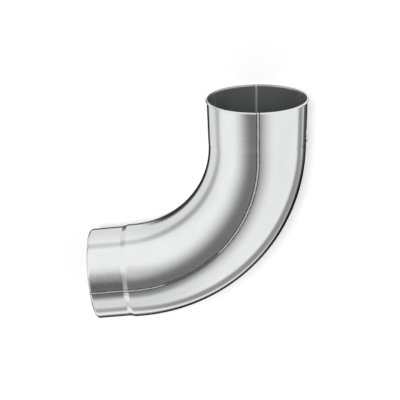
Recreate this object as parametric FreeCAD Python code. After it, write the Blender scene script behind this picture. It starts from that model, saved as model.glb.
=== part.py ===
import FreeCAD, Part
import math
import os

# A rainwater pipe bend in bright galvanised sheet, for a 100 mm downpipe. Two
# pressed half shells, one on the inside of the bend and one on the outside, are
# welded along both flanks. One end is a socket that takes a pipe, and the other
# end is stepped down to a spigot that enters the next pipe.
#
# Sizes are in millimetres. The bend lies on its side, as it rests on a table. The
# origin is the centre of the socket's mouth. The mouth opens along +Y, the bend
# turns towards -X, and one seam is on top along +Z and the other one below.

# Sheet and pipe
body_diameter = 100.0       # outside of the pipe through the bend
sheet = 0.7                 # thickness of the sheet

# Bend
bend_angle = 85.0           # degrees that the pipe turns
bend_radius = 142.5         # of the pipe's centre line

# Socket
socket_length = 49.4        # mouth to the start of the bend
socket_clearance = 0.3      # on the radius, between the socket and the pipe it takes
socket_step_length = 2.0    # taper from the socket down to the body
mouth_flare = 1.1           # how far the mouth's edge turns outwards
mouth_flare_length = 0.9

# Spigot
outlet_straight = 6.3       # plain pipe between the bend and the spigot's step
spigot_clearance = 0.7      # on the radius, between the spigot and the pipe it enters
spigot_step_length = 4.5    # taper from the body down to the spigot
spigot_length = 36.1        # from the step to the spigot's end
end_curl_radius = 3.0       # outside radius of the edge that is drawn inwards
end_curl_angle = 70.0       # degrees that this edge turns
end_curl_flats = 2          # it is rolled in this many narrow flats

# Welds along the flanks
weld_width = 2.0            # between the shells' edges, all through the sheet
weld_crown = 0.2            # how far the weld stands proud outside
weld_root = 0.15            # how far it stands proud inside

# Pressed pad on the back of the socket
pad_margin = 0.5            # between the pad's foot and the socket's step
pad_length = 14.0           # along the pipe
pad_width = 8.0             # round the pipe
pad_height = 1.8            # how far it stands proud, and how far its sides slope in

# Radii that follow
body_radius = body_diameter / 2
socket_radius = body_radius + socket_clearance + sheet
spigot_radius = body_radius - sheet - spigot_clearance
mouth_radius = socket_radius + mouth_flare

# Stations along the pipe, measured from the mouth as if the pipe were straight.
# Those past the bend leave the bend's own length out.
socket_step = socket_length - socket_step_length
spigot_step = socket_length + outlet_straight
spigot_start = spigot_step + spigot_step_length
curl_start = spigot_start + spigot_length - end_curl_radius * math.sin(math.radians(end_curl_angle))

# Directions and the point that the bend turns about
along_y = FreeCAD.Vector(0, 1, 0)
up = FreeCAD.Vector(0, 0, 1)
origin = FreeCAD.Vector(0, 0, 0)
bend_centre = FreeCAD.Vector(-bend_radius, -socket_length, 0)

# Angle round the pipe from the middle of a weld to its edge
weld_half_angle = math.degrees(math.asin(weld_width / 2 / body_radius))


def at(station, radius):
    """A point above the straight pipe's axis."""
    return FreeCAD.Vector(0, -station, radius)


def line(start, end):
    return Part.LineSegment(start, end).toShape()


def arc(start, middle, end):
    return Part.Arc(start, middle, end).toShape()


def socket_profile(depth):
    """The corners of the socket's wall from the mouth to the bend, at a depth below its outer face."""
    return [
        at(0, mouth_radius - depth),
        at(mouth_flare_length, socket_radius - depth),
        at(socket_step, socket_radius - depth),
        at(socket_length, body_radius - depth),
    ]


def spigot_profile(depth):
    """The corners of the wall from the bend to the spigot's end, at a depth below its outer face."""
    corners = [
        at(socket_length, body_radius - depth),
        at(spigot_step, body_radius - depth),
        at(spigot_start, spigot_radius - depth),
    ]
    for step in range(end_curl_flats + 1):
        turn = math.radians(end_curl_angle * step / end_curl_flats)
        reach = end_curl_radius - depth
        corners.append(at(
            curl_start + reach * math.sin(turn),
            spigot_radius - end_curl_radius + reach * math.cos(turn),
        ))
    return corners


def between(profile, outer_depth, inner_depth):
    """The cut face of the wall between two depths."""
    outline = profile(outer_depth) + profile(inner_depth)[::-1]
    return Part.Face(Part.makePolygon(outline + outline[:1]))


def round_pipe(shape, first, last):
    """The shape swept round the pipe's axis between two angles, from +Z towards +X."""
    start = shape.copy()
    start.rotate(origin, along_y, first)
    return start.revolve(origin, along_y, last - first)


def past_bend(shape):
    """The shape carried round the bend, from the bend's start to its end."""
    moved = shape.copy()
    moved.rotate(bend_centre, up, -bend_angle)
    return moved


def wall(first, last, outer_depth, inner_depth):
    """The pipe's wall between two angles round the pipe and two depths below its outer face."""
    socket = round_pipe(between(socket_profile, outer_depth, inner_depth), first, last)
    wall_edge = line(at(socket_length, body_radius - outer_depth), at(socket_length, body_radius - inner_depth))
    bend = round_pipe(wall_edge, first, last).revolve(bend_centre, up, -bend_angle)
    spigot = past_bend(round_pipe(between(spigot_profile, outer_depth, inner_depth), first, last))
    return socket.fuse([bend, spigot])


def weld_section(top, bottom):
    """The weld's section between a point of its crown and one of its root, with both of them flat."""
    turn = math.radians(weld_half_angle)
    corners = [
        FreeCAD.Vector(side * spot.z * math.sin(turn), spot.y, spot.z * math.cos(turn))
        for spot, side in ((top, -1), (top, 1), (bottom, 1), (bottom, -1))
    ]
    return Part.makePolygon(corners + corners[:1])


def weld_run(profile):
    """The weld along one of the pipe's straight ends."""
    sections = [weld_section(*ends) for ends in zip(profile(-weld_crown), profile(sheet + weld_root))]
    runs = [Part.makeLoft([near, far], True, True) for near, far in zip(sections, sections[1:])]
    return runs[0].fuse(runs[1:])


def weld():
    """The whole weld on top of the bend. It fills the gap between the shells' edges."""
    start = weld_section(socket_profile(-weld_crown)[-1], socket_profile(sheet + weld_root)[-1])
    bend = Part.Face(start).revolve(bend_centre, up, -bend_angle)
    return weld_run(socket_profile).fuse([bend, past_bend(weld_run(spigot_profile))])


def pad_outline(height, shrink):
    """A slot-shaped outline facing +X at a height over the socket's outer face."""
    half_width = pad_width / 2 - shrink
    half_straight = (pad_length - pad_width) / 2
    middle = socket_step - pad_margin - pad_length / 2

    def spot(along, across):
        return FreeCAD.Vector(socket_radius + height, along - middle, across)

    far = half_straight + half_width
    return Part.Wire([
        line(spot(-half_straight, half_width), spot(half_straight, half_width)),
        arc(spot(half_straight, half_width), spot(far, 0), spot(half_straight, -half_width)),
        line(spot(half_straight, -half_width), spot(-half_straight, -half_width)),
        arc(spot(-half_straight, -half_width), spot(-far, 0), spot(-half_straight, half_width)),
    ])


def pad_form(depth):
    """The pad's sloping form, at a depth below its outer face, with its foot in the sheet."""
    foot = pad_outline(-sheet / 2 - depth, depth)
    top = pad_outline(pad_height - depth, pad_height + depth / 2)
    return Part.makeLoft([foot, top], True, True)


heel_side = (weld_half_angle, 180 - weld_half_angle)
throat_side = (180 + weld_half_angle, 360 - weld_half_angle)

heel_shell = wall(*heel_side, 0, sheet).fuse(pad_form(0)).cut(pad_form(sheet))
throat_shell = wall(*throat_side, 0, sheet)
front_weld = weld()
rear_weld = front_weld.mirror(origin, up)

os.makedirs("parts", exist_ok=True)
for node, shape in {
    "throat_shell": throat_shell,
    "heel_shell": heel_shell,
    "front_weld": front_weld,
    "rear_weld": rear_weld,
}.items():
    solid = shape.Solids[0]
    print(node, "solids", len(shape.Solids), "valid", solid.isValid(), "volume", round(solid.Volume, 1))
    solid.exportStep("parts/" + node + ".step")
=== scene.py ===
import math

import bpy
from mathutils import Euler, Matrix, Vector, noise


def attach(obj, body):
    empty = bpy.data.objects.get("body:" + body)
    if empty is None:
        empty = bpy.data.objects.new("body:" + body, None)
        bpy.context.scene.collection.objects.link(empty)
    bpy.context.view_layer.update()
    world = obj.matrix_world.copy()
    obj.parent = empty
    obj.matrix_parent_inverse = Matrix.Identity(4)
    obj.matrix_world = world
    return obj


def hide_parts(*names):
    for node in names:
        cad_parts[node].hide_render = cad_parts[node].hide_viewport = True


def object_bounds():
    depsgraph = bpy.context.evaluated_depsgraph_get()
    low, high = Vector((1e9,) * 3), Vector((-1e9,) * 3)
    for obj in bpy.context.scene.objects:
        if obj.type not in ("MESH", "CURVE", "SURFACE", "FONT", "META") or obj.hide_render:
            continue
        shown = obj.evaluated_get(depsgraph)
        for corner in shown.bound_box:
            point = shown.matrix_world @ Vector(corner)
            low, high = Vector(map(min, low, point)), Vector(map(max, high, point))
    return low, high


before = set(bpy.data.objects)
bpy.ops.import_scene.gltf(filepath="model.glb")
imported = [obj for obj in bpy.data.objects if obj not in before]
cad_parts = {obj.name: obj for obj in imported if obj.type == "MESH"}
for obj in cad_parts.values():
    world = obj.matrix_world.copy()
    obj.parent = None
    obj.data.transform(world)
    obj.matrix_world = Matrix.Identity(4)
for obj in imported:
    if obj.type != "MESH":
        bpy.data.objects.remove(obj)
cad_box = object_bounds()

# Sizes are in millimetres, and turn into metres where a mesh is made.
# The socket's mouth is at the origin and opens along +Y. The bend turns towards -X
# and lies on its side, with one weld on top along +Z and the other one below.
MM = 0.001

# Sheet and pipe
SHEET = 0.7
BODY_RADIUS = 49.95
SOCKET_RADIUS = 51.0
MOUTH_RADIUS = 52.1
SPIGOT_RADIUS = 48.53

# Stations along the pipe's axis, from the mouth
BEND_RADIUS = 142.5
BEND_ANGLE = math.radians(85.0)
SOCKET_STEP = 43.0
SOCKET_STEP_DIP = 5.0
SOCKET_STEP_LENGTH = 2.5
SOCKET_STEP_DROP = 0.18
BEND_START = 49.4
BEND_END = BEND_START + BEND_RADIUS * BEND_ANGLE
SPIGOT_STEP = BEND_END + 5.6
SPIGOT_START = BEND_END + 10.8
SPIGOT_END = BEND_END + 46.85
LIP_LENGTH = 1.5
LIP_OPENING = 0.35
LIP_INSIDE_LENGTH = 2.0
CURL_RADIUS = 3.0
CURL_ANGLE = math.radians(70.0)
CURL_START = SPIGOT_END - CURL_RADIUS * math.sin(CURL_ANGLE)

# Welds, and the stretch along which they are dull
WELD_WIDTH = 2.0
WELD_ROOT = 0.15
DULL_START = 156.0
DULL_END = 232.0
DULL_FADE_IN = 6.0
DULL_FADE_OUT = 8.0

# The bead outside: its height, how uneven that is, how much it gains behind the lip and
# where that ends, how full its section is, and its wander as a share of its half width
BEAD_HEIGHT = 0.17
BEAD_UNEVENNESS = 0.03
BEAD_GAIN = 0.10
BEAD_GAIN_END = 4.0
BEAD_FULLNESS = 0.8
BEAD_WANDER = 0.12

# How fast the bead's ripples, swells and wander change along it, for each millimetre
RIPPLE_RATE = 0.9
SWELL_RATE = 0.22
WANDER_RATE = 0.07

# Pressed pad on the back of the socket
PAD_MIDDLE = 39.9
PAD_LENGTH = 14.0
PAD_WIDTH = 8.0
PAD_HEIGHT = 1.8
PAD_SLOPE = 1.9
PAD_WAIST = 0.35
PAD_WAIST_OFFSET = 1.0
PAD_WAIST_LENGTH = 1.6

# Spacing of the mesh's rows along the pipe, and where it gets finer before the step
LIP_ROWS = 0.15
PLAIN_ROWS = 1.5
PAD_ROWS_START = 31.0
PAD_ROWS = 0.6
STEP_ROWS_START = 40.0
STEP_ROWS = 0.33
BEND_ROWS = 1.4
SPIGOT_STEP_ROWS = 0.3
SPIGOT_STEP_MARGIN = 1.0
BEAD_ROWS = 0.4
CURL_ROWS = 10

# Spacing of its columns round the pipe, and the finer ones on each side of the pad's middle
COLUMN_TURN = math.radians(1.6)
PAD_COLUMN_TURN = math.radians(0.5)
PAD_COLUMNS = 11


def smooth(value, low, high):
    """0 below low, 1 above high, and an even S-curve between them."""
    t = min(max((value - low) / (high - low), 0.0), 1.0)
    return t * t * (3.0 - 2.0 * t)


def tapered(value, low, high):
    """0 below low, 1 above high, and a straight taper between them with rounded corners."""
    corner = 0.18
    t = min(max((value - low) / (high - low), -corner), 1.0 + corner)
    if t < corner:
        return (t + corner) ** 2 / (4.0 * corner)
    if t > 1.0 - corner:
        return 1.0 - (1.0 + corner - t) ** 2 / (4.0 * corner)
    return t


def axis_at(station):
    """The point of the pipe's axis at a station, and the direction there towards the heel."""
    if station <= BEND_START:
        return Vector((0.0, -station, 0.0)), Vector((1.0, 0.0, 0.0))
    turned = min((station - BEND_START) / BEND_RADIUS, BEND_ANGLE)
    heel = Vector((math.cos(turned), -math.sin(turned), 0.0))
    centre = Vector((-BEND_RADIUS, -BEND_START, 0.0)) + BEND_RADIUS * heel
    onward = Vector((-math.sin(turned), -math.cos(turned), 0.0))
    return centre + max(station - BEND_END, 0.0) * onward, heel


def on_pipe(station, radius, turn):
    """A point of the pipe at an angle from the top towards the heel."""
    centre, heel = axis_at(station)
    return centre + radius * (math.sin(turn) * heel + math.cos(turn) * Vector((0.0, 0.0, 1.0)))


def socket_rise(station, turn):
    """How far the socket stands proud of the bend.

    It is a slight cone, with a soft step that fades towards the seams.
    """
    side = math.sin(turn) ** 4
    step_end = SOCKET_STEP + SOCKET_STEP_DIP * side
    step = SOCKET_STEP_DROP * side
    cone = (SOCKET_RADIUS - BODY_RADIUS - step) * max(1.0 - station / step_end, 0.0)
    return cone + step * (1.0 - smooth(station, step_end - SOCKET_STEP_LENGTH, step_end))


def outer_radius(station, turn):
    """Radius of the outer face, from the rounded lip to the spigot's soft step."""
    if station < BEND_START:
        lip = 0.0
        if station <= LIP_LENGTH:
            lip = (MOUTH_RADIUS - SOCKET_RADIUS) * math.sqrt(1.0 - (1.0 - station / LIP_LENGTH) ** 2)
        return BODY_RADIUS + socket_rise(station, turn) + lip
    return BODY_RADIUS - (BODY_RADIUS - SPIGOT_RADIUS) * tapered(station, SPIGOT_STEP, SPIGOT_START)


def inner_radius(station, turn):
    """Radius of the inner face, which turns outwards only a little at the lip."""
    if station < LIP_INSIDE_LENGTH:
        opening = LIP_OPENING * (1.0 - smooth(station, 0.0, LIP_INSIDE_LENGTH))
        return BODY_RADIUS + socket_rise(station, turn) - SHEET + opening
    return outer_radius(station, turn) - SHEET


def spread(first, last, pitch):
    """Even stations from first up to but without last."""
    count = max(1, round((last - first) / pitch))
    return [first + (last - first) * step / count for step in range(count)]


def wall_stations():
    """Stations of the wall's rows from the mouth to where its edge is drawn in."""
    crease_end, socket_rows_start = LIP_LENGTH + 0.06, LIP_LENGTH + 0.2
    step_start, step_end = SPIGOT_STEP - SPIGOT_STEP_MARGIN, SPIGOT_START + SPIGOT_STEP_MARGIN
    return (
        spread(0.0, LIP_LENGTH, LIP_ROWS)
        + [LIP_LENGTH, crease_end]
        + spread(socket_rows_start, PAD_ROWS_START, PLAIN_ROWS)
        + spread(PAD_ROWS_START, STEP_ROWS_START, PAD_ROWS)
        + spread(STEP_ROWS_START, BEND_START, STEP_ROWS)
        + spread(BEND_START, step_start, BEND_ROWS)
        + spread(step_start, step_end, SPIGOT_STEP_ROWS)
        + spread(step_end, CURL_START, PLAIN_ROWS)
    )


def wall_profile(depth, turn):
    """Stations and radii of the wall at a depth below its outer face and an angle round the pipe."""
    radius = inner_radius if depth > 0.0 else outer_radius
    profile = [(station, radius(station, turn)) for station in wall_stations()]
    reach = CURL_RADIUS - depth
    for step in range(CURL_ROWS + 1):
        bent = CURL_ANGLE * step / CURL_ROWS
        profile.append((
            CURL_START + reach * math.sin(bent),
            SPIGOT_RADIUS - CURL_RADIUS + reach * math.cos(bent),
        ))
    return profile


def pad_rise(station, turn):
    """How far the pressed pad stands proud of the socket at a place."""
    across = (turn - math.pi / 2) * SOCKET_RADIUS
    half_straight = (PAD_LENGTH - PAD_WIDTH) / 2
    along = max(abs(station - PAD_MIDDLE) - half_straight, 0.0)
    inside = PAD_WIDTH / 2 - math.hypot(along, across)
    from_waist = (station - PAD_MIDDLE - PAD_WAIST_OFFSET) / PAD_WAIST_LENGTH
    waist = 1.0 - PAD_WAIST * math.exp(-from_waist ** 2)
    return PAD_HEIGHT * waist * smooth(inside, 0.0, PAD_SLOPE)


def shell_turns(first, last):
    """Angles round a half shell, closer together across the pad on the heel."""
    turns = spread(first, last, COLUMN_TURN) + [last]
    fine = [math.pi / 2 + PAD_COLUMN_TURN * step for step in range(-PAD_COLUMNS, PAD_COLUMNS + 1)]
    if first < fine[0] and fine[-1] < last:
        narrowest = 0.004
        outside = [turn for turn in turns if turn < fine[0] - narrowest or turn > fine[-1] + narrowest]
        turns = outside + fine
    return sorted(turns)


def new_piece(name, points, faces, face_materials, lengths, materials, node):
    """A smooth piece from points in millimetres, with its lengths round and along as UVs."""
    mesh = bpy.data.meshes.new(name)
    mesh.from_pydata([tuple(p * MM for p in point) for point in points], [], faces)
    for material in materials:
        mesh.materials.append(material)
    mesh.polygons.foreach_set("material_index", face_materials)
    mesh.polygons.foreach_set("use_smooth", [True] * len(faces))
    layer = mesh.uv_layers.new(name="sheet_lengths")
    for loop in mesh.loops:
        round_pipe, along_pipe = lengths[loop.vertex_index]
        layer.data[loop.index].uv = (round_pipe * MM, along_pipe * MM)
    mesh.update()
    piece = bpy.data.objects.new(name, mesh)
    bpy.context.scene.collection.objects.link(piece)
    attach(piece, "root")
    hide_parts(node)
    return piece


OUTSIDE, INSIDE, EDGE = 0, 1, 2


def half_shell(name, first, last, materials, node):
    """One pressed half of the bend: its outer skin, its inner skin and the cut edges between them."""
    turns = shell_turns(first, last)
    columns = len(turns)
    points, lengths, faces, face_materials = [], [], [], []
    for depth in (0.0, SHEET):
        for ring in zip(*(wall_profile(depth, turn) for turn in turns)):
            for (station, radius), turn in zip(ring, turns):
                rise = pad_rise(station, turn) if station < BEND_START else 0.0
                points.append(on_pipe(station, radius + rise, turn))
                lengths.append(((turn - first) * BODY_RADIUS, station))
    rows = len(points) // columns // 2
    skin = rows * columns

    def quad(corners, material):
        faces.append(corners)
        face_materials.append(material)

    for row in range(rows - 1):
        for column in range(columns - 1):
            a = row * columns + column
            b, c, d = a + 1, a + columns + 1, a + columns
            quad((a, b, c, d), OUTSIDE)
            quad((a + skin, d + skin, c + skin, b + skin), INSIDE)
    for column in range(columns - 1):
        a = column
        quad((a + 1, a, a + skin, a + 1 + skin), EDGE)
        b = (rows - 1) * columns + column
        quad((b, b + 1, b + 1 + skin, b + skin), EDGE)
    for row in range(rows - 1):
        a = row * columns
        quad((a, a + columns, a + columns + skin, a + skin), EDGE)
        b = a + columns - 1
        quad((b + columns, b, b + skin, b + columns + skin), EDGE)
    piece = new_piece(name, points, faces, face_materials, lengths, materials, node)
    keep_edges_crisp(piece)
    return piece


def keep_edges_crisp(piece):
    """Marks the borders of the cut edges as sharp."""
    mesh = piece.data
    edge_uses = {}
    for face in mesh.polygons:
        for key in face.edge_keys:
            edge_uses.setdefault(key, set()).add(face.material_index)
    sharp = mesh.attributes.new("sharp_edge", "BOOLEAN", "EDGE")
    for edge in mesh.edges:
        sharp.data[edge.index].value = len(edge_uses.get(edge.key, ())) > 1


CROWN, ROOT = 0, 1


def bead_stations():
    """Close rows of the weld: the station and radius outside, and those inside."""
    ends = [out + into for out, into in zip(wall_profile(0.0, 0.0), wall_profile(SHEET, 0.0))]
    rows = []
    for start, end in zip(ends, ends[1:]):
        parts = max(1, round((end[0] - start[0]) / BEAD_ROWS))
        for part in range(parts):
            rows.append(tuple(s + (e - s) * part / parts for s, e in zip(start, end)))
    return rows + [ends[-1]]


def weld_bead(name, top, materials, node):
    """A weld along one flank: a low rippled bead outside, and a flatter root inside."""
    half_angle = math.asin(WELD_WIDTH / 2 / BODY_RADIUS)
    across = [step / 5 for step in range(-5, 6)]
    ring = 2 * len(across)
    points, lengths, faces = [], [], []
    rows = bead_stations()
    for out_station, out_radius, in_station, in_radius in rows:
        ripple = noise.noise(Vector((out_station * RIPPLE_RATE, 3.7, top)))
        swell = noise.noise(Vector((out_station * SWELL_RATE, 8.1, top)))
        crown = BEAD_HEIGHT + BEAD_UNEVENNESS * ripple + BEAD_UNEVENNESS * swell
        crown += BEAD_GAIN * smooth(out_station, LIP_LENGTH, BEAD_GAIN_END)
        wander = BEAD_WANDER * noise.noise(Vector((out_station * WANDER_RATE, 1.3, top)))
        for place in across:
            height = crown * (1.0 - place * place) ** BEAD_FULLNESS
            turn = half_angle * (place + wander * (1.0 - place * place))
            points.append(on_pipe(out_station, out_radius + height, turn if top > 0 else math.pi - turn))
            lengths.append((place * WELD_WIDTH / 2, out_station))
        for place in reversed(across):
            height = WELD_ROOT * (1.0 - place * place)
            turn = half_angle * place
            points.append(on_pipe(in_station, in_radius - height, turn if top > 0 else math.pi - turn))
            lengths.append((place * WELD_WIDTH / 2, in_station))
    face_materials = []
    for row in range(len(rows) - 1):
        for column in range(ring):
            face_materials.append(CROWN if column < len(across) - 1 else ROOT)
            a = row * ring + column
            b = row * ring + (column + 1) % ring
            corners = (a, b, b + ring, a + ring)
            faces.append(corners if top > 0 else corners[::-1])
    end = (len(rows) - 1) * ring
    for column in range(len(across) - 1):
        near = (column, ring - 1 - column, ring - 2 - column, column + 1)
        far = tuple(end + c for c in near[::-1])
        faces.extend([near, far] if top > 0 else [near[::-1], far[::-1]])
        face_materials.extend([ROOT, ROOT])
    return new_piece(name, points, faces, face_materials, lengths, materials, node)


# Materials

# Heights of the fine reliefs, in metres
RIPPLE_RELIEF = 0.000035
SHEET_GRAIN_RELIEF = 0.000007
EDGE_GRAIN_RELIEF = 0.00001
ROOT_GRAIN_RELIEF = 0.00003
BEAD_GRAIN_RELIEF = 0.00004

# Values that most of a noise texture lies between
NOISE_LOW = 0.3
NOISE_HIGH = 0.7

# The sheet's colour in its darkest and palest clouds, its specks and its dark zones, as
# shares of its own colour, and how strong the specks are. The dark zones are a dull zone from
# welding beside each weld and, on the spigot, a band of painted shade for a dark reflection
CLOUD_DARK = 0.94
CLOUD_PALE = 1.05
SPECK_DARK = 0.45
SPECK_STRENGTH = 0.10
ZONE_AND_SHADE_DARK = 0.30

# How dark the zones beside a weld are between their grains and on them, with the spigot's
# band of painted shade among them, how much of the dull zone the bend has, and how much rougher the dull
# zone is
ZONE_AND_SHADE_LEAST = 0.28
ZONE_AND_SHADE_MOST = 0.52
BEND_DULLNESS = 0.6
ZONE_ROUGHNESS = 0.07

# Dark oxide at a weld's toe and on its bead, and where it lies across the bead, in metres
TOE_COLOUR = (0.035, 0.036, 0.038)
OXIDE_COLOUR = (0.03, 0.03, 0.032)
OXIDE_START = 0.00045
OXIDE_FULL = 0.0009
OXIDE_RAGGEDNESS = 0.0012
OXIDE_STRENGTH = 0.92
DULL_OXIDE = 0.8

# Colours and roughness of the bead and the root in their darkest and palest grain, and the
# share of its colour that the cut edge keeps in its darkest
BEAD_DARK = (0.7, 0.7, 0.71)
BEAD_PALE = (1.0, 1.0, 1.0)
BEAD_SMOOTHEST = 0.25
BEAD_ROUGHEST = 0.42
ROOT_DARK = (0.62, 0.62, 0.63)
ROOT_PALE = (0.9, 0.9, 0.9)
EDGE_DARK = 0.9


def new_group(name, inputs, outputs):
    """An empty shader node group. Inputs are (name, kind, value), and outputs (name, kind)."""
    group = bpy.data.node_groups.new(name, "ShaderNodeTree")
    for label, kind, value in inputs:
        socket = group.interface.new_socket(label, in_out="INPUT", socket_type=kind)
        socket.default_value = value
    for label, kind in outputs:
        group.interface.new_socket(label, in_out="OUTPUT", socket_type=kind)
    return group, group.nodes.new("NodeGroupInput"), group.nodes.new("NodeGroupOutput")


def add_node(tree, kind, values=None, **settings):
    """A node with its settings made, and its sockets' plain values set by name or number."""
    node = tree.nodes.new(kind)
    for key, value in settings.items():
        setattr(node, key, value)
    for key, value in (values or {}).items():
        node.inputs[key].default_value = value
    return node


def join(tree, source, target):
    """A link from an output to an input."""
    tree.links.new(source, target)


def maths(tree, operation, first, second=0.5):
    """A Math node whose inputs are sockets or plain numbers."""
    node = add_node(tree, "ShaderNodeMath", operation=operation)
    for socket, value in zip(node.inputs, (first, second)):
        if isinstance(value, (int, float)):
            socket.default_value = value
        else:
            join(tree, value, socket)
    return node.outputs[0]


def ramped(tree, source, low, high, out_low=0.0, out_high=1.0):
    """A soft S-curve between two values of the source."""
    node = add_node(tree, "ShaderNodeMapRange", {1: low, 2: high, 3: out_low, 4: out_high},
                    interpolation_type="SMOOTHSTEP")
    join(tree, source, node.inputs[0])
    return node.outputs[0]


def sheet_grain_group():
    """Drawing ripples, fine grain, polishing streaks and clouds, from the sheet's lengths."""
    group, given, put_out = new_group(
        "sheet_grain",
        [("Ripple pitch", "NodeSocketFloat", 450.0), ("Grain pitch", "NodeSocketFloat", 900.0)],
        [("Ripple", "NodeSocketFloat"), ("Grain", "NodeSocketFloat"),
         ("Streak", "NodeSocketFloat"), ("Cloud", "NodeSocketFloat")],
    )
    where = add_node(group, "ShaderNodeUVMap", uv_map="sheet_lengths")
    for output, scaling, pitch, detail in (
        ("Ripple", (0.08, 1.0, 1.0), "Ripple pitch", 2.0),
        ("Grain", (1.0, 0.7, 1.0), "Grain pitch", 3.0),
        ("Streak", (1.0, 0.04, 1.0), "Ripple pitch", 3.0),
        ("Cloud", (1.0, 0.5, 1.0), None, 4.0),
    ):
        stretch = add_node(group, "ShaderNodeMapping", {"Scale": scaling})
        join(group, where.outputs[0], stretch.inputs[0])
        field = add_node(group, "ShaderNodeTexNoise", {"Scale": 60.0, "Detail": detail, "Roughness": 0.6})
        join(group, stretch.outputs[0], field.inputs["Vector"])
        if pitch:
            join(group, given.outputs[pitch], field.inputs["Scale"])
        join(group, field.outputs["Fac"], put_out.inputs[output])
    return group


def weld_heat_and_shade_group():
    """The dull zone that welding leaves on the sheet, the dark line at its toe, and a band of painted
    shade beside the weld on the spigot, which stands in for a dark reflection.
    """
    group, given, put_out = new_group(
        "weld_heat_and_shade",
        [("Sheet width", "NodeSocketFloat", 0.155), ("Zone width", "NodeSocketFloat", 0.014),
         ("Spigot painted shade width", "NodeSocketFloat", 0.010), ("Toe width", "NodeSocketFloat", 0.0013)],
        [("Zone", "NodeSocketFloat"), ("Spigot painted shade", "NodeSocketFloat"), ("Toe", "NodeSocketFloat")],
    )
    where = add_node(group, "ShaderNodeUVMap", uv_map="sheet_lengths")
    parts = add_node(group, "ShaderNodeSeparateXYZ")
    join(group, where.outputs[0], parts.inputs[0])
    other_side = maths(group, "SUBTRACT", given.outputs["Sheet width"], parts.outputs[0])
    distance = maths(group, "MINIMUM", parts.outputs[0], other_side)
    on_spigot = ramped(group, parts.outputs[1], SPIGOT_STEP * MM, (SPIGOT_STEP + 2.0) * MM)
    # The spigot's band is painted shade: a dark reflection put into the sheet's colour
    for output, pitch, width, raggedness, border in (
        ("Zone", 150.0, "Zone width", 1.3, 0.0),
        ("Spigot painted shade", 120.0, "Spigot painted shade width", 0.45, 0.65),
        ("Toe", 800.0, "Toe width", 1.4, 0.0),
    ):
        field = add_node(group, "ShaderNodeTexNoise", {"Scale": pitch, "Detail": 4.0, "Roughness": 0.65})
        join(group, where.outputs[0], field.inputs["Vector"])
        ragged = maths(group, "MULTIPLY", maths(group, "SUBTRACT", field.outputs["Fac"], 0.5), raggedness)
        share = maths(group, "ADD", maths(group, "DIVIDE", distance, given.outputs[width]), ragged)
        mask = ramped(group, share, border, 1.0, 1.0, 0.0)
        if output == "Spigot painted shade":
            mask = maths(group, "MULTIPLY", mask, on_spigot)
        join(group, mask, put_out.inputs[output])
    return group


def place_group(tree, group, values=None):
    """A group placed in a material with its own values."""
    return add_node(tree, "ShaderNodeGroup", values, node_tree=group)


def mixed(tree, factor, first, second):
    """A colour between two others, each a socket or a plain colour."""
    node = add_node(tree, "ShaderNodeMix", data_type="RGBA")
    join(tree, factor, node.inputs["Factor"])
    for key, value in (("A", first), ("B", second)):
        if isinstance(value, tuple):
            node.inputs[key].default_value = value + (1.0,)
        else:
            join(tree, value, node.inputs[key])
    return node.outputs["Result"]


def new_metal(name, metallic, roughness):
    """A material with only its shader, and the shader's plain values set."""
    material = bpy.data.materials.new(name)
    material.use_nodes = True
    tree = material.node_tree
    tree.nodes.clear()
    finish = add_node(tree, "ShaderNodeOutputMaterial")
    shader = add_node(tree, "ShaderNodeBsdfPrincipled", {"Metallic": metallic, "Roughness": roughness})
    join(tree, shader.outputs[0], finish.inputs["Surface"])
    return material, tree, shader


def relief(tree, height, distance, below=None):
    """The normal of a fine relief, laid over another one."""
    bump = add_node(tree, "ShaderNodeBump", {"Strength": 1.0, "Distance": distance})
    join(tree, height, bump.inputs["Height"])
    if below is not None:
        join(tree, below, bump.inputs["Normal"])
    return bump.outputs[0]


def shaded(colour, share):
    """A colour made darker or paler by one share."""
    return tuple(channel * share for channel in colour)


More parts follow.
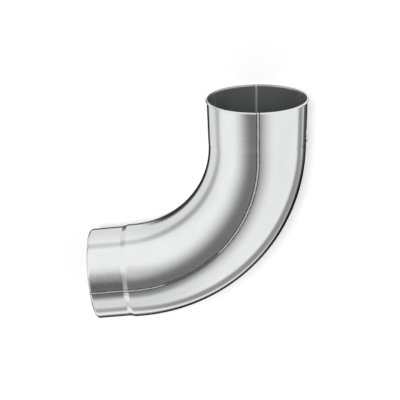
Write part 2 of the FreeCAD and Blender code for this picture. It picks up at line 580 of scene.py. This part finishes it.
def galvanised(name, grain, heat_and_shade, colour, metallic, roughness, streaks, toes, zone, spigot_painted_shade):
    """Bright zinc-coated sheet, grained and rippled, duller and darker along its welds, with a band of
    painted shade beside the weld on the spigot.
    """
    material, tree, shader = new_metal(name, metallic, roughness)
    sheet = place_group(tree, grain)
    weld = place_group(tree, heat_and_shade, {"Zone width": zone, "Spigot painted shade width": spigot_painted_shade})
    plain = mixed(tree, sheet.outputs["Cloud"], shaded(colour, CLOUD_DARK), shaded(colour, CLOUD_PALE))
    specks = ramped(tree, sheet.outputs["Grain"], NOISE_LOW, NOISE_HIGH, 0.0, SPECK_STRENGTH)
    grained = mixed(tree, specks, plain, shaded(colour, SPECK_DARK))
    bend_zone = maths(tree, "MULTIPLY", weld.outputs["Zone"], BEND_DULLNESS)
    # The spigot's band adds painted shade, a dark reflection put into the colour
    heat_tint_and_painted_shade = maths(tree, "MAXIMUM", bend_zone, weld.outputs["Spigot painted shade"])
    darkening_strength = ramped(tree, sheet.outputs["Grain"], NOISE_LOW, NOISE_HIGH, ZONE_AND_SHADE_LEAST, ZONE_AND_SHADE_MOST)
    dull = maths(tree, "MULTIPLY", heat_tint_and_painted_shade, darkening_strength)
    # Darker beside the welds: a dull zone from welding, and painted shade on the spigot
    zoned = mixed(tree, dull, grained, shaded(colour, ZONE_AND_SHADE_DARK))
    toe = maths(tree, "MULTIPLY", weld.outputs["Toe"], toes)
    join(tree, mixed(tree, toe, zoned, TOE_COLOUR), shader.inputs["Base Color"])
    smoothest, roughest = roughness * (1.0 - streaks), roughness * (1.0 + streaks)
    streaked = ramped(tree, sheet.outputs["Streak"], NOISE_LOW, NOISE_HIGH, smoothest, roughest)
    dulled = maths(tree, "MULTIPLY", weld.outputs["Zone"], ZONE_ROUGHNESS)
    join(tree, maths(tree, "ADD", streaked, dulled), shader.inputs["Roughness"])
    ripples = relief(tree, sheet.outputs["Ripple"], RIPPLE_RELIEF)
    grains = relief(tree, sheet.outputs["Grain"], SHEET_GRAIN_RELIEF, ripples)
    join(tree, grains, shader.inputs["Normal"])
    return material


def bright_edge(name, grain, colour, roughness):
    """The sheet's cut edge, worn bright."""
    material, tree, shader = new_metal(name, 1.0, roughness)
    sheet = place_group(tree, grain)
    worn = mixed(tree, sheet.outputs["Grain"], shaded(colour, EDGE_DARK), colour)
    join(tree, worn, shader.inputs["Base Color"])
    join(tree, relief(tree, sheet.outputs["Grain"], EDGE_GRAIN_RELIEF), shader.inputs["Normal"])
    return material


def weld_root_metal(name, grain):
    """The weld's root inside the pipe, a little brighter than the sheet beside it."""
    material, tree, shader = new_metal(name, 0.8, 0.35)
    bead = place_group(tree, grain)
    pale = mixed(tree, bead.outputs["Grain"], ROOT_DARK, ROOT_PALE)
    join(tree, pale, shader.inputs["Base Color"])
    join(tree, relief(tree, bead.outputs["Grain"], ROOT_GRAIN_RELIEF), shader.inputs["Normal"])
    return material


def weld_bead_metal(name, grain):
    """A weld bead, bright on its crown, dark at both toes and dull along one stretch."""
    material, tree, shader = new_metal(name, 1.0, 0.3)
    bead = place_group(tree, grain, {"Grain pitch": 700.0})
    where = add_node(tree, "ShaderNodeUVMap", uv_map="sheet_lengths")
    parts = add_node(tree, "ShaderNodeSeparateXYZ")
    join(tree, where.outputs[0], parts.inputs[0])
    off_crown = maths(tree, "ABSOLUTE", parts.outputs[0])
    uneven = maths(tree, "SUBTRACT", bead.outputs["Grain"], 0.5)
    ragged = maths(tree, "MULTIPLY", uneven, OXIDE_RAGGEDNESS)
    toes = ramped(tree, maths(tree, "ADD", off_crown, ragged), OXIDE_START, OXIDE_FULL)
    begins = ramped(tree, parts.outputs[1], DULL_START * MM, (DULL_START + DULL_FADE_IN) * MM)
    ends = ramped(tree, parts.outputs[1], (DULL_END - DULL_FADE_OUT) * MM, DULL_END * MM, 1.0, 0.0)
    dull = maths(tree, "MULTIPLY", begins, ends)
    dark = maths(tree, "MAXIMUM", toes, maths(tree, "MULTIPLY", dull, DULL_OXIDE))
    crown = mixed(tree, bead.outputs["Grain"], BEAD_DARK, BEAD_PALE)
    oxide = maths(tree, "MULTIPLY", dark, OXIDE_STRENGTH)
    darkened = mixed(tree, oxide, crown, OXIDE_COLOUR)
    join(tree, darkened, shader.inputs["Base Color"])
    roughness = ramped(tree, bead.outputs["Grain"], NOISE_LOW, NOISE_HIGH, BEAD_SMOOTHEST, BEAD_ROUGHEST)
    join(tree, roughness, shader.inputs["Roughness"])
    join(tree, relief(tree, bead.outputs["Grain"], BEAD_GRAIN_RELIEF), shader.inputs["Normal"])
    return material


# Studio


# The photograph's camera: its place in metres, its turn in degrees and its lens
CAMERA_PLACE = (-0.0140, 0.2981, 1.0103)
CAMERA_TURN = (-22.06, 2.04, -1.465)
CAMERA_LENS = 93.24

# Directions of the studio, which is laid out round the camera: to its right, upwards in
# its view, and from the bend towards it
RIGHT, UP, FRONT = Euler([math.radians(angle) for angle in CAMERA_TURN]).to_matrix().col

# Light of the white room on the floor and that of the lamp, how much whiter the camera
# sees the floor, and half of the floor's side and its gap under the bend, in metres
ROOM_LIGHT = 0.30
LAMP_LIGHT = 0.70
FLOOR_GLOW = 0.08
FLOOR_HALF_SIDE = 4.0
FLOOR_GAP = 0.0001

# The lamp's width in degrees, and how far it is to the left of the camera and below it,
# as shares of its distance
LAMP_WIDTH = 24.0
LAMP_LEFT = 0.13
LAMP_BELOW = 0.04

# Dark cards and gaps between the white walls, as shiny metal sees them. Each one has
# its angle from the front, its angle round from the right, its own turn, its two half
# sizes, how soft its border is, and the share of the light that it leaves.
DARK_CARDS = (
    # The gap below the camera, which the welds' side of the pipe sees, and its darkest part
    (38, -112, 0, 0.38, 0.46, 0.80, 0.20),
    (60, -98, 0, 0.16, 0.14, 0.70, 0.50),
    # The camera itself
    (10, 180, 0, 0.20, 0.20, 0.80, 0.80),
    # The left wall, which is less lit, a grey panel on it, and the dark corner behind it
    (130, 150, 0, 0.75, 0.75, 0.30, 0.82),
    (100, 155, 66, 0.95, 0.14, 0.70, 0.56),
    (152, 145, 45, 0.40, 0.20, 0.35, 0.08),
    # The right wall and the front one below, which are a little less lit
    (80, -30, 0, 0.60, 0.60, 0.80, 0.93),
    (85, -95, 0, 0.45, 0.30, 0.70, 0.80),
    # A grey panel low on the right, and the dark corners behind it
    (123, -45, 85, 0.85, 0.21, 0.40, 0.34),
    (150, -5, 90, 0.35, 0.28, 0.35, 0.10),
    (155, -45, 90, 0.35, 0.25, 0.30, 0.10),
    (150, -95, 90, 0.30, 0.24, 0.35, 0.12),
    # The dark table's edge behind the bend
    (180, 0, 0, 0.45, 0.45, 0.15, 0.10),
    # A dark card low on the left and behind, meant for the inside of the socket
    (120, -135, 0, 0.45, 0.15, 0.40, 0.06),
)


def studio_world():
    """A white studio. Shiny metal sees its soft boxes and the darker gaps between them."""
    world = bpy.data.worlds.new("studio")
    bpy.context.scene.world = world
    world.use_nodes = True
    world.cycles.sampling_method = "NONE"
    tree = world.node_tree
    tree.nodes.clear()
    finish = add_node(tree, "ShaderNodeOutputWorld")
    direction = add_node(tree, "ShaderNodeTexCoord").outputs["Generated"]

    def toward(axis):
        node = add_node(tree, "ShaderNodeVectorMath", operation="DOT_PRODUCT")
        join(tree, direction, node.inputs[0])
        node.inputs[1].default_value = tuple(axis)
        return node.outputs["Value"]

    def spot(from_front, around):
        """The direction at an angle from the front, the way outwards there and the way round."""
        out = math.cos(around) * RIGHT + math.sin(around) * UP
        back = -math.sin(from_front) * FRONT + math.cos(from_front) * out
        side = -math.sin(around) * RIGHT + math.cos(around) * UP
        return math.cos(from_front) * FRONT + math.sin(from_front) * out, back, side

    light = None
    for from_front, around, turn, half_long, half_wide, soft, left in DARK_CARDS:
        middle, back, side = spot(math.radians(from_front), math.radians(around))
        turn = math.radians(turn)
        across = add_node(tree, "ShaderNodeCombineXYZ")
        join(tree, toward((math.cos(turn) * back + math.sin(turn) * side) / half_long), across.inputs[0])
        join(tree, toward((math.cos(turn) * side - math.sin(turn) * back) / half_wide), across.inputs[1])
        length = add_node(tree, "ShaderNodeVectorMath", operation="LENGTH")
        join(tree, across.outputs[0], length.inputs[0])
        inside = ramped(tree, length.outputs["Value"], 1.0 - soft, 1.0 + soft, 1.0, 0.0)
        facing = ramped(tree, toward(middle), 0.0, 0.25)
        dark = maths(tree, "MULTIPLY", maths(tree, "MULTIPLY", inside, facing), left - 1.0)
        kept = maths(tree, "ADD", dark, 1.0)
        light = kept if light is None else maths(tree, "MULTIPLY", light, kept)

    glossy = add_node(tree, "ShaderNodeBackground", {"Color": (1.0, 1.0, 1.0, 1.0)})
    join(tree, light, glossy.inputs["Strength"])
    rays = add_node(tree, "ShaderNodeLightPath")
    plain = add_node(tree, "ShaderNodeBackground", {"Color": (1.0, 1.0, 1.0, 1.0)})
    seen = maths(tree, "MULTIPLY", rays.outputs["Is Camera Ray"], 1.0 - ROOM_LIGHT)
    join(tree, maths(tree, "ADD", seen, ROOM_LIGHT), plain.inputs["Strength"])
    choose = add_node(tree, "ShaderNodeMixShader")
    join(tree, rays.outputs["Is Glossy Ray"], choose.inputs[0])
    join(tree, plain.outputs[0], choose.inputs[1])
    join(tree, glossy.outputs[0], choose.inputs[2])
    join(tree, choose.outputs[0], finish.inputs["Surface"])


def floor():
    """A plain white floor that takes the bend's soft shadow."""
    mesh = bpy.data.meshes.new("floor")
    side, height = FLOOR_HALF_SIDE, cad_box[0][2] - FLOOR_GAP
    corners = [(-side, -side, height), (side, -side, height), (side, side, height), (-side, side, height)]
    mesh.from_pydata(corners, [], [(0, 1, 2, 3)])
    material = bpy.data.materials.new("white_floor")
    material.use_nodes = True
    tree = material.node_tree
    tree.nodes.clear()
    finish = add_node(tree, "ShaderNodeOutputMaterial")
    paper = add_node(tree, "ShaderNodeBsdfDiffuse", {"Color": (1.0, 1.0, 1.0, 1.0)})
    glow = add_node(tree, "ShaderNodeEmission", {"Color": (1.0, 1.0, 1.0, 1.0)})
    seen = add_node(tree, "ShaderNodeLightPath").outputs["Is Camera Ray"]
    join(tree, maths(tree, "MULTIPLY", seen, FLOOR_GLOW), glow.inputs["Strength"])
    both = add_node(tree, "ShaderNodeAddShader")
    join(tree, paper.outputs[0], both.inputs[0])
    join(tree, glow.outputs[0], both.inputs[1])
    join(tree, both.outputs[0], finish.inputs["Surface"])
    mesh.materials.append(material)
    plane = bpy.data.objects.new("floor", mesh)
    plane.visible_glossy = False
    bpy.context.scene.collection.objects.link(plane)


def overhead_lamp():
    """A wide soft lamp beside the camera, which keeps the shadow close to the bend."""
    lamp = bpy.data.lights.new("overhead", "SUN")
    lamp.energy = LAMP_LIGHT * math.pi
    lamp.angle = math.radians(LAMP_WIDTH)
    light = bpy.data.objects.new("overhead", lamp)
    toward = (FRONT - LAMP_LEFT * RIGHT - LAMP_BELOW * UP).normalized()
    light.rotation_euler = toward.to_track_quat("Z", "Y").to_euler()
    light.visible_glossy = False
    bpy.context.scene.collection.objects.link(light)


def camera():
    """The photograph's camera, nearly overhead."""
    lens = bpy.data.cameras.new("camera")
    lens.sensor_width = 36.0
    lens.lens = CAMERA_LENS
    lens.clip_start = 0.01
    view = bpy.data.objects.new("camera", lens)
    view.location = CAMERA_PLACE
    view.rotation_euler = [math.radians(angle) for angle in CAMERA_TURN]
    bpy.context.scene.collection.objects.link(view)
    bpy.context.scene.camera = view


camera()
floor()
overhead_lamp()
studio_world()
bpy.context.scene.view_settings.view_transform = "Standard"

grain = sheet_grain_group()
heat_and_shade = weld_heat_and_shade_group()
# The inside's zinc is a darker copy of the outside's: painted shade for the hollow of the pipe
zinc, shaded_inside_zinc = (0.86, 0.862, 0.865), (0.52, 0.525, 0.53)
# The spigot widths set a band of painted shade beside the spigot's weld, standing in for a dark
# reflection
throat_outside = galvanised(
    "galvanised_throat", grain, heat_and_shade, zinc, metallic=1.0, roughness=0.085,
    streaks=0.15, toes=0.94, zone=0.012, spigot_painted_shade=0.023,
)
heel_outside = galvanised(
    "galvanised_heel", grain, heat_and_shade, zinc, metallic=1.0, roughness=0.085,
    streaks=0.15, toes=0.94, zone=0.004, spigot_painted_shade=0.006,
)
# The inside is painted darker than the outside, as shade within the pipe
sheet_inside = galvanised(
    "galvanised_inside", grain, heat_and_shade, shaded_inside_zinc, metallic=0.88, roughness=0.20,
    streaks=0.05, toes=0.0, zone=0.004, spigot_painted_shade=0.004,
)
sheet_edge = bright_edge("cut_edge", grain, (0.92, 0.92, 0.92), 0.3)
weld_materials = [weld_bead_metal("weld_crown", grain), weld_root_metal("weld_root", grain)]

seam = math.asin(WELD_WIDTH / 2 / BODY_RADIUS)
heel_materials = [heel_outside, sheet_inside, sheet_edge]
throat_materials = [throat_outside, sheet_inside, sheet_edge]
half_shell("heel_half", seam, math.pi - seam, heel_materials, "heel_shell")
half_shell("throat_half", math.pi + seam, 2 * math.pi - seam, throat_materials, "throat_shell")
weld_bead("front_bead", 1.0, weld_materials, "front_weld")
weld_bead("rear_bead", -1.0, weld_materials, "rear_weld")
